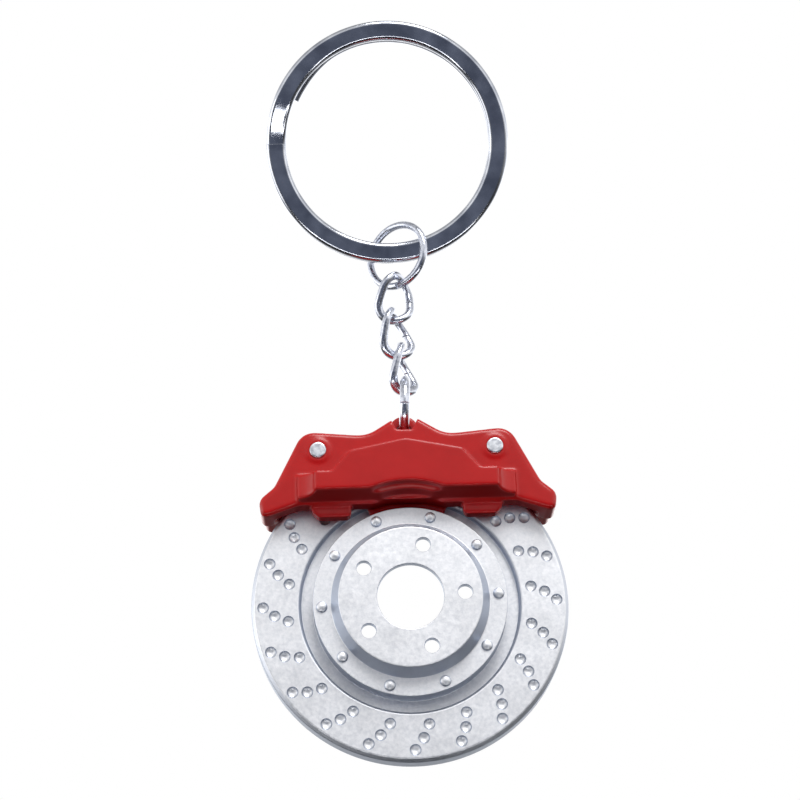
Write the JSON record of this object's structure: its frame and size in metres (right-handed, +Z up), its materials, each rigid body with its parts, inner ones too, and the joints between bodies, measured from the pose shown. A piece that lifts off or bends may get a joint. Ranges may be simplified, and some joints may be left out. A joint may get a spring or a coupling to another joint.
{
  "type": "brake disc keyring",
  "caption": "Keyring with a split ring, a short twisted chain, a red brake caliper and a drilled silver brake disc that spins in it.",
  "frame": {"origin": "centre of the split ring, from which everything hangs", "axes": "+Z up, +X to the right, +Y away from the caliper's raised front; the disc's axis is along Y"},
  "size_m": [0.0392, 0.0174, 0.097],
  "materials": {
    "ring_steel": "nickel-plated flat steel wire, polished",
    "chain_steel": "nickel-plated round steel wire",
    "caliper_red": "glossy red enamel on a zinc die casting",
    "rivet_steel": "bright headed rivet",
    "disc_zinc": "satin silver plate on a zinc die casting"
  },
  "bodies": {
    "split_ring": {"split_ring": "ring_steel"},
    "jump_ring": {"jump_ring": "chain_steel"},
    "link_upper": {"chain_link_upper": "chain_steel"},
    "link_middle": {"chain_link_middle": "chain_steel"},
    "link_lower": {"chain_link_lower": "chain_steel"},
    "eye_ring": {"caliper_eye_ring": "chain_steel"},
    "caliper": {"caliper_front_half": "caliper_red", "caliper_rear_half": "caliper_red", "rivet_left": "rivet_steel", "rivet_right": "rivet_steel"},
    "disc": {"brake_disc": "disc_zinc"}
  },
  "joints": [
    {"name": "jump_ring_swing", "type": "hinge", "parent": "split_ring", "child": "jump_ring", "pos_m": [0.00092, 0.00522, -0.01374], "axis": [1, 0, 0], "range_deg": [-1.5, 70]},
    {"name": "link_upper_swing", "type": "hinge", "parent": "jump_ring", "child": "link_upper", "pos_m": [0.00092, 0.00522, -0.01839], "axis": [-0.809, 0.5878, 0], "range_deg": [-50, 50]},
    {"name": "link_middle_swing", "type": "hinge", "parent": "link_upper", "child": "link_middle", "pos_m": [0, 0.00522, -0.02343], "axis": [0.9877, -0.1564, 0], "range_deg": [-50, 50]},
    {"name": "link_lower_swing", "type": "hinge", "parent": "link_middle", "child": "link_lower", "pos_m": [0.00075, 0.00522, -0.02846], "axis": [-0.9816, -0.1908, 0], "range_deg": [-50, 50]},
    {"name": "eye_ring_swing", "type": "hinge", "parent": "link_lower", "child": "eye_ring", "pos_m": [0.00135, 0.00522, -0.0335], "axis": [0.8572, 0.515, 0], "range_deg": [-25, 2]},
    {"name": "caliper_swing", "type": "hinge", "parent": "eye_ring", "child": "caliper", "pos_m": [0.00097, 0.00522, -0.03926], "axis": [0, 1, 0], "range_deg": [-45, 45]},
    {"name": "disc_spin", "type": "hinge", "parent": "caliper", "child": "disc", "pos_m": [0.00097, 0.00347, -0.06211], "axis": [0, 1, 0], "continuous": true}
  ]
}
